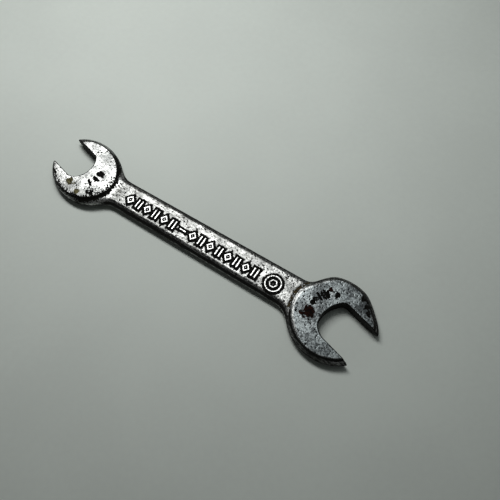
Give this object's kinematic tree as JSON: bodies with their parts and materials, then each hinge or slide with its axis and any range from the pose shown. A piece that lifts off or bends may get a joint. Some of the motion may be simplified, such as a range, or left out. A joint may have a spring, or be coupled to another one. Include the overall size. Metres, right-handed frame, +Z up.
{
  "type": "double open-ended wrench",
  "caption": "Forged flat wrench with a small and a large open jaw at opposite ends, each turned off the shank, for turning hexagon nuts and bolt heads.",
  "frame": {"origin": "bottom centre of the part's bounding box, in the plane that the two heads lie on", "axes": "+X along the shank towards the large head, +Y across it, +Z up through the face that carries the raised marks"},
  "size_m": [0.1266, 0.0286, 0.0046],
  "materials": {
    "worn_plating": "worn bright plating over forged steel, pitted, with dark grime in the hollows and a few rust spots",
    "rubbed_relief": "raised marks rubbed bright on top, dark in the hollows around them"
  },
  "bodies": {
    "root": {"small_head": "worn_plating", "shank": "worn_plating", "large_head": "worn_plating", "raised_band": "rubbed_relief", "raised_ring": "rubbed_relief"}
  },
  "joints": []
}
